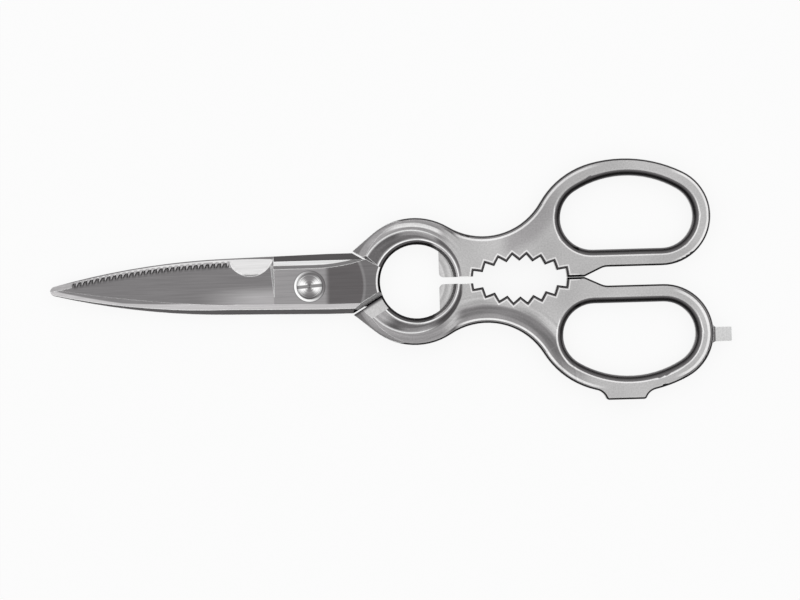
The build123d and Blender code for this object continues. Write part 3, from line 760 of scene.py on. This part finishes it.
# %% Finishes of the gripper
AT_GRIPPER = [("x", 46.0, 46.6), ("x", 83.6, 83.0), ("aside", 9.6, 9.0)]
AT_NOSE = [("x", 79.2, 79.5), ("x", 84.2, 83.4), ("aside", 0.80, 0.62)]
GRIPPER_FINISHES_AND_PAINTED_LIGHT = (
    ("tooth_glint", "#F0EFEF", 0.30, [*AT_GRIPPER, LEVEL, ("from_teeth", 1.60, 1.40)]),
    # Painted shade along the teeth's flanks, beside the painted highlight line.
    ("tooth_edge_shade", "#545253", 0.22, [*AT_GRIPPER, LEVEL, ("from_teeth", 1.02, 0.86)]),
    ("tooth_bevel_shade", "#1C1B1C", 0.20, [*AT_GRIPPER, ("flat", 0.90, 0.78)]),
    # Painted shade at the narrow gap between the noses: near black beside it, dark grey on its
    # walls.
    ("nose_gap_shade", "#080708", 0.30, [*AT_NOSE, ("flat", 0.2, 0.4)]),
    ("nose_wall_shade", "#4A494A", 0.30, [*AT_NOSE, ("flat", 0.4, 0.2)]),
)
print("gripper:", [row[0] for row in GRIPPER_FINISHES_AND_PAINTED_LIGHT])

# %% [markdown]
# ### Where the halves meet
# The lap faces slide on each other and are ground flat. One of them shows through the bone
# notch, bright at the blade and painted darker at the ricasso, as shade. Where one half's
# edge casts its shade on the other, the steel is painted darker, because soft light from
# above is weak in a gap that is narrower than a millimetre. The lap strip's outline is
# painted shade too.

# %% Finishes where the halves meet
ON_LAP_FACE = [("nz", -0.9, -0.98), ("z", LAP_Z - 0.3, LAP_Z - 0.1),
               ("past_shoulder", 0.05, -0.05)]
MEETING_FINISHES_AND_PAINTED_LIGHT = (
    ("ricasso_rim_glint", "#F6F5F5", 0.24, [
        ON_RICASSO, ("x", 15, 16), LEVEL, ("from_ring", RIM_R + 0.25, RIM_R + 0.08),
    ], "front"),
    ("ricasso_rim_shade", "#6E6C6D", 0.24, [
        ON_RICASSO, ("x", 15, 16), LEVEL, ("from_ring", RIM_R - 0.28, RIM_R - 0.45),
    ], "front"),
    ("toe_shade", "#4A484A", 0.30, [
        ("past_shoulder", 1.1, 0.1), ("past_shoulder", -0.1, 0.0), ("y", 3.0, 4.0),
        ("x", 12, 13),
    ], "back"),
    ("lap_face", "#EDECEC", 0.30, ON_LAP_FACE),
    # Painted shade on the lap face at the ricasso.
    ("lap_face_shade_at_ricasso", "#5C5A5B", 0.20, [*ON_LAP_FACE, ("x", -11.2, -10.8)]),
    # Painted shade, near black, in the gap at the shoulder, and a painted darker outline along
    # the lap strip.
    ("shoulder_gap_shade", "#161516", 0.40, [
        ("z", 0.56, 0.66), ("past_shoulder", -0.8, -0.6), LEVEL, ("past_shoulder", 0.3, 0.2),
        ("y", 3.0, 4.0), ("x", 12, 13),
    ], "back"),
    ("lap_edge_shade", "#858384", 0.30, [*ON_LAP_FACE, ON_BLADE, ("from_spine", 0.42, 0.30)]),
)
FINISHES_AND_PAINTED_LIGHT = (*NECK_FINISHES_AND_PAINTED_LIGHT, *LOOP_FINISHES_AND_PAINTED_LIGHT, *RING_FINISHES_AND_PAINTED_LIGHT, *RICASSO_FINISHES_AND_PAINTED_LIGHT,
            *BLADE_FINISHES_AND_PAINTED_LIGHT, *GRIPPER_FINISHES_AND_PAINTED_LIGHT, *MEETING_FINISHES_AND_PAINTED_LIGHT)
print("meeting faces:", [row[0] for row in MEETING_FINISHES_AND_PAINTED_LIGHT])
print("finishes in all:", len(FINISHES_AND_PAINTED_LIGHT))

# %% [markdown]
# ### One finish or painted light over the other
# The blasted handle is the ground layer. Each row of the tables then mixes its colour and
# its roughness in where its mask is 1, as each tool took off what the one before it left;
# the painted highlights and painted shade go on in the same way.

# %% Layers of finishes and painted light
BLASTED = "#C3C2C2"
BLASTED_ROUGHNESS = 0.36


def finishes_and_painted_light(tree, found, half):
    """Colour and roughness of a half after all its finishes and its painted light and shade."""
    base = add(tree, "ShaderNodeRGB").outputs[0]
    base.default_value = linear(BLASTED)
    rough = add(tree, "ShaderNodeValue").outputs[0]
    rough.default_value = BLASTED_ROUGHNESS
    for finish, colour, roughness, limits, *only_half in FINISHES_AND_PAINTED_LIGHT:
        if only_half and half not in only_half:
            continue
        here = mask(tree, found, limits)
        layer = add(tree, "ShaderNodeMix", data_type="RGBA", label=finish,
                    values={7: linear(colour)}, links={0: here, 6: base})
        base = layer.outputs[2]
        level = add(tree, "ShaderNodeMix", data_type="FLOAT",
                    values={3: roughness}, links={0: here, 2: rough})
        rough = level.outputs[0]
    return base, rough


print("blasted steel:", BLASTED, BLASTED_ROUGHNESS)

# %% [markdown]
# ### The marks of the tools
# Grinding leaves lines along the blade, and blasting leaves a fine grain. The real grain is
# finer than a pixel, so both are drawn as coarse as they need to show: lines about 0.35 mm
# apart and a grain of about 0.5 mm. A third and much larger pattern stands for the slight
# unevenness of a hand-held belt, which makes light drift softly along a handle. Noise is
# right for all three, because none of these marks repeats.

# %% Lines, grain and drift
LINE_SPACING = 0.35
LINE_LENGTH = 14.0
GRAIN = 0.5
DRIFT = 18.0
NOISE_LOW, NOISE_HIGH = 0.3, 0.7
DRIFT_TONES = (0.86, 1.08)


def toned_by(tree, noise, darkest, lightest):
    """A factor on the colour that follows a noise, within two limits."""
    tone = add(tree, "ShaderNodeMapRange",
               values={"From Min": NOISE_LOW, "From Max": NOISE_HIGH,
                       "To Min": darkest, "To Max": lightest}, links={"Value": noise})
    return tone.outputs[0]


def tool_marks(tree, found, on_handle):
    """Height of the fine marks, and the factor that the drift of the belt gives."""
    lines = add(tree, "ShaderNodeVectorMath", operation="MULTIPLY",
                values={1: (1 / LINE_LENGTH, 1 / LINE_SPACING, 1 / LINE_SPACING)},
                links={0: found["own"]})
    line_noise = add(tree, "ShaderNodeTexNoise", values={"Scale": 1.0, "Detail": 2.0},
                     links={"Vector": lines.outputs[0]})
    grain_noise = add(tree, "ShaderNodeTexNoise", values={"Scale": 1 / GRAIN, "Detail": 2.0},
                      links={"Vector": found["own"]})
    drift_noise = add(tree, "ShaderNodeTexNoise", values={"Scale": 1 / DRIFT, "Detail": 1.0},
                      links={"Vector": found["own"]})
    marks = add(tree, "ShaderNodeMix", data_type="FLOAT",
                links={0: on_handle, 2: line_noise.outputs[0], 3: grain_noise.outputs[0]})
    drift = toned_by(tree, drift_noise.outputs[0], *DRIFT_TONES)
    steady = add(tree, "ShaderNodeMix", data_type="FLOAT", values={2: 1.0},
                 links={0: on_handle, 3: drift})
    return marks.outputs[0], steady.outputs[0]


print("grinding lines", LINE_SPACING, "mm apart, grain of", GRAIN, "mm")

# %% [markdown]
# ### Streaks of the belt
# Where a belt is swept round a curve, its marks run in arcs about the curve's middle. They
# show on the ring and on the neck as faint streaks. Noise that is stretched along the arcs
# gives them: fine in the distance from the middle, slow along the handle.

# %% Streaks: measure, spacing in millimetres, limits and, where it is only one, the half
STREAK_LENGTH = 16.0
STREAK_TONES = (0.76, 1.24)
STREAKS = (("from_dish", 0.7, [("past_shoulder", 3.9, 4.4),
                               ("from_dish", DISH_R + 3.2, DISH_R + 2.6), ("x", 48, 42)]),
           ("from_neck", 1.1, [ON_HANDLE, ("from_neck", 31, 27), ("x", 90, 78),
                               ("x", 42, 48)], "back"))


def belt_streaks(tree, found, half):
    """A factor on the colour, from all the streaks that a half has."""
    streak = None
    for middle, spacing, limits, *only_half in STREAKS:
        if only_half and half not in only_half:
            continue
        rings = add(tree, "ShaderNodeMath", operation="MULTIPLY", values={1: 1 / spacing},
                    links={0: found[middle]})
        along = add(tree, "ShaderNodeMath", operation="MULTIPLY",
                    values={1: 1 / STREAK_LENGTH}, links={0: found["x"]})
        sweep = add(tree, "ShaderNodeCombineXYZ",
                    links={0: rings.outputs[0], 1: along.outputs[0]})
        noise = add(tree, "ShaderNodeTexNoise", values={"Scale": 1.0, "Detail": 2.0},
                    links={"Vector": sweep.outputs[0]})
        tone = toned_by(tree, noise.outputs[0], *STREAK_TONES)
        mixed = add(tree, "ShaderNodeMix", data_type="FLOAT", values={2: 1.0},
                    links={0: mask(tree, found, limits), 3: tone})
        if streak is not None:
            mixed = add(tree, "ShaderNodeMath", operation="MULTIPLY",
                        links={0: streak, 1: mixed.outputs[0]})
        streak = mixed.outputs[0]
    return streak


print("streaks follow:", [row[0] for row in STREAKS])

# %% [markdown]
# ### The finished steel
# Everything comes together in one metal shader for each half. The colour takes the tones of
# the tool marks, and a very shallow bump lets the same marks break up the reflections, which
# is what tells brushed steel from chrome.

# %% Steel of the halves
MARKS_TONES = (0.91, 1.09)
MARKS_BUMP = 0.25
MARKS_DEPTH = 0.03 * MM


def steel_of_a_half(name, half, scale, offset, mirror):
    """Forged stainless steel with all its finishes and its painted light and shade, on one
    half.
    """
    # Forged, blasted, ground and polished: satin grey, with painted highlights along crisp
    # edges and painted shade on steep faces and in narrow gaps.
    material = bpy.data.materials.new(name)
    material.use_nodes = True
    tree = material.node_tree
    tree.nodes.clear()
    found = measures_of(tree, scale, offset, mirror)
    base, rough = finishes_and_painted_light(tree, found, half)
    on_handle = mask(tree, found, [ON_HANDLE])
    marks, steady = tool_marks(tree, found, on_handle)
    both = add(tree, "ShaderNodeMath", operation="MULTIPLY",
               links={0: toned_by(tree, marks, *MARKS_TONES), 1: steady})
    both = add(tree, "ShaderNodeMath", operation="MULTIPLY",
               links={0: both.outputs[0], 1: belt_streaks(tree, found, half)})
    toned = add(tree, "ShaderNodeVectorMath", operation="SCALE",
                links={0: base, "Scale": both.outputs[0]})
    bump = add(tree, "ShaderNodeBump",
               values={"Strength": MARKS_BUMP, "Distance": MARKS_DEPTH},
               links={"Height": marks})
    metal = add(tree, "ShaderNodeBsdfPrincipled", values={"Metallic": 1.0},
                links={"Base Color": toned.outputs[0], "Roughness": rough,
                       "Normal": bump.outputs[0]})
    add(tree, "ShaderNodeOutputMaterial", links={"Surface": metal.outputs[0]})
    return material


front_steel = steel_of_a_half("satin_steel_with_painted_light_front", "front", *OWN_FRAMES["front"])
back_steel = steel_of_a_half("satin_steel_with_painted_light_back", "back", *OWN_FRAMES["back"])
print("nodes in the front half's steel:", len(front_steel.node_tree.nodes))
print("nodes in the back half's steel:", len(back_steel.node_tree.nodes))

# %% [markdown]
# ## The pivot
# The screw's head is turned on a lathe, and the fine rings that the tool leaves spread each
# highlight into a bow tie across the dome. The bow tie is painted into the colour as light
# and dark sectors. The washer under it and the nut behind it are turned too, with painted
# sectors of their own. Rings round an axis follow the distance from that axis, and the bow
# tie follows the angle round it, which are both easy to get from object coordinates. The
# real rings are finer than a pixel, so they are drawn 0.25 mm apart.

# %% Painted light and dark sectors on turned steel
RING_SPACING = 0.25
RING_UNEVENNESS = 2.4
SECTOR_FADE = 0.9


def sectors_and_rings(tree, turned_place, plan, sectors, start):
    """Share of light in each sector, the radius in millimetres and the fine rings."""
    place = add(tree, "ShaderNodeSeparateXYZ", links={0: turned_place})
    angle = add(tree, "ShaderNodeMath", operation="ARCTAN2",
                links={0: place.outputs[1], 1: place.outputs[0]})
    turns = add(tree, "ShaderNodeMath", operation="MULTIPLY_ADD",
                values={1: sectors, 2: start}, links={0: angle.outputs[0]})
    # Painted light: the cosine of the angle gives light and dark sectors, a painted bow-tie
    # highlight.
    wave = add(tree, "ShaderNodeMath", operation="COSINE", links={0: turns.outputs[0]})
    radius = add(tree, "ShaderNodeVectorMath", operation="LENGTH", links={0: plan})
    rings = add(tree, "ShaderNodeTexNoise", noise_dimensions="1D",
                values={"Scale": 1 / RING_SPACING, "Detail": 2.0},
                links={"W": radius.outputs["Value"]})
    uneven = add(tree, "ShaderNodeMath", operation="MULTIPLY_ADD",
                 values={1: RING_UNEVENNESS, 2: -RING_UNEVENNESS / 2},
                 links={0: rings.outputs[0]})
    total = add(tree, "ShaderNodeMath", operation="ADD",
                links={0: wave.outputs[0], 1: uneven.outputs[0]})
    share = add(tree, "ShaderNodeMapRange", interpolation_type="SMOOTHSTEP",
                values={"From Min": -SECTOR_FADE, "From Max": SECTOR_FADE},
                links={"Value": total.outputs[0]})
    return share.outputs[0], radius.outputs["Value"], rings.outputs[0]


print("turned rings", RING_SPACING, "mm apart")

# %% [markdown]
# ### Slot and rim
# The screw's slot is sawn, and its floor is painted darker than the dome as shade, and each
# turned piece has a painted thin dark line of shade round its rim, where it meets the steel
# under it. Both are masks: one from the distance across the slot, one from the radius.

# %% Painted shade in the slot and on the rim
SLOT_HALF = 0.5
SLOT_FADE = 0.1
SLOT_TURN_DEG = 4.0
SLOT_ACROSS = (-math.sin(math.radians(SLOT_TURN_DEG)), math.cos(math.radians(SLOT_TURN_DEG)), 0)
RIM_WIDTH = 0.25
RIM_FULL = 0.05


def slot_and_rim(tree, plan, radius, slot_share, rim_r):
    """Mask of the slot's floor, at its share of shade, and of the rim."""
    across = add(tree, "ShaderNodeVectorMath", operation="DOT_PRODUCT",
                 values={1: SLOT_ACROSS}, links={0: plan})
    aside = add(tree, "ShaderNodeMath", operation="ABSOLUTE",
                links={0: across.outputs["Value"]})
    in_slot = add(tree, "ShaderNodeMapRange", interpolation_type="SMOOTHSTEP",
                  values={"From Min": SLOT_HALF + SLOT_FADE, "From Max": SLOT_HALF - SLOT_FADE},
                  links={"Value": aside.outputs[0]})
    slotted = add(tree, "ShaderNodeMath", operation="MULTIPLY", values={1: slot_share},
                  links={0: in_slot.outputs[0]})
    outer = add(tree, "ShaderNodeMapRange", interpolation_type="SMOOTHSTEP",
                values={"From Min": rim_r - RIM_WIDTH, "From Max": rim_r - RIM_FULL},
                links={"Value": radius})
    shaded = add(tree, "ShaderNodeMath", operation="MAXIMUM",
                 links={0: slotted.outputs[0], 1: outer.outputs[0]})
    return shaded.outputs[0]


print("slot", 2 * SLOT_HALF, "mm wide, turned by", SLOT_TURN_DEG, "degrees")

# %% [markdown]
# ### Screw, washer and nut
# One function makes the steel of all three, because they differ only in tone, in roughness
# and in how many painted light sectors stand for the room on them: two on a dome and on a
# flat nut, one on the cone of the washer, which is turned to face the lighter side of the
# room.

# %% Turned steel
TO_MM_IN_PLAN = (1000, 1000, 0)
RINGS_BUMP = 0.3
RINGS_DEPTH = 0.02 * MM
# Colour of the painted shade in the slot and round the rim.
SHADED_STEEL = "#4E4C4D"


def turned_steel(name, dark, light, roughness, sectors, start, slot_share, rim_r):
    """Steel turned on a lathe: fine rings, with painted light and dark sectors round the axis.
    """
    # Turned stainless steel: bright, with fine rings, and each highlight painted as a sector.
    material = bpy.data.materials.new(name)
    material.use_nodes = True
    tree = material.node_tree
    tree.nodes.clear()
    where = add(tree, "ShaderNodeTexCoord").outputs["Object"]
    plan = add(tree, "ShaderNodeVectorMath", operation="MULTIPLY",
               values={1: TO_MM_IN_PLAN}, links={0: where}).outputs[0]
    share, radius, rings = sectors_and_rings(tree, where, plan, sectors, start)
    colour = add(tree, "ShaderNodeMix", data_type="RGBA",
                 values={6: linear(dark), 7: linear(light)}, links={0: share})
    shaded = slot_and_rim(tree, plan, radius, slot_share, rim_r)
    # Painted shade in the slot and round the rim.
    toned = add(tree, "ShaderNodeMix", data_type="RGBA", values={7: linear(SHADED_STEEL)},
                links={0: shaded, 6: colour.outputs[2]})
    bump = add(tree, "ShaderNodeBump",
               values={"Strength": RINGS_BUMP, "Distance": RINGS_DEPTH},
               links={"Height": rings})
    metal = add(tree, "ShaderNodeBsdfPrincipled",
                values={"Metallic": 1.0, "Roughness": roughness},
                links={"Base Color": toned.outputs[2], "Normal": bump.outputs[0]})
    add(tree, "ShaderNodeOutputMaterial", links={"Surface": metal.outputs[0]})
    return material


screw_steel = turned_steel("turned_screw_steel_with_painted_light", dark="#7E7C7D", light="#FFFFFF",
                           roughness=0.22, sectors=2.0, start=0.0, slot_share=0.75, rim_r=4.0)
washer_steel = turned_steel("sprung_washer_steel_with_painted_light", dark="#6E6C6D", light="#FFFFFF",
                            roughness=0.20, sectors=1.0, start=2.6, slot_share=0.0, rim_r=4.9)
nut_steel = turned_steel("turned_nut_steel_with_painted_light", dark="#A09E9F", light="#E0DFDE",
                         roughness=0.28, sectors=2.0, start=0.0, slot_share=0.0, rim_r=4.7)
print("turned steels:", screw_steel.name, washer_steel.name, nut_steel.name)

# %% [markdown]
# ## Dress the solids
# The solids already have their true shapes, so each one keeps its own mesh and only gets its
# steel. The finish is assigned to the mesh's one material slot.

# %% Assign the steels
STEELS = {"front_half": front_steel, "back_half": back_steel, "pivot_screw": screw_steel,
          "spring_washer": washer_steel, "pivot_nut": nut_steel}
for node_name, material in STEELS.items():
    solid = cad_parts[node_name]
    solid.data.materials.clear()
    solid.data.materials.append(material)
    print(node_name, "gets", material.name)
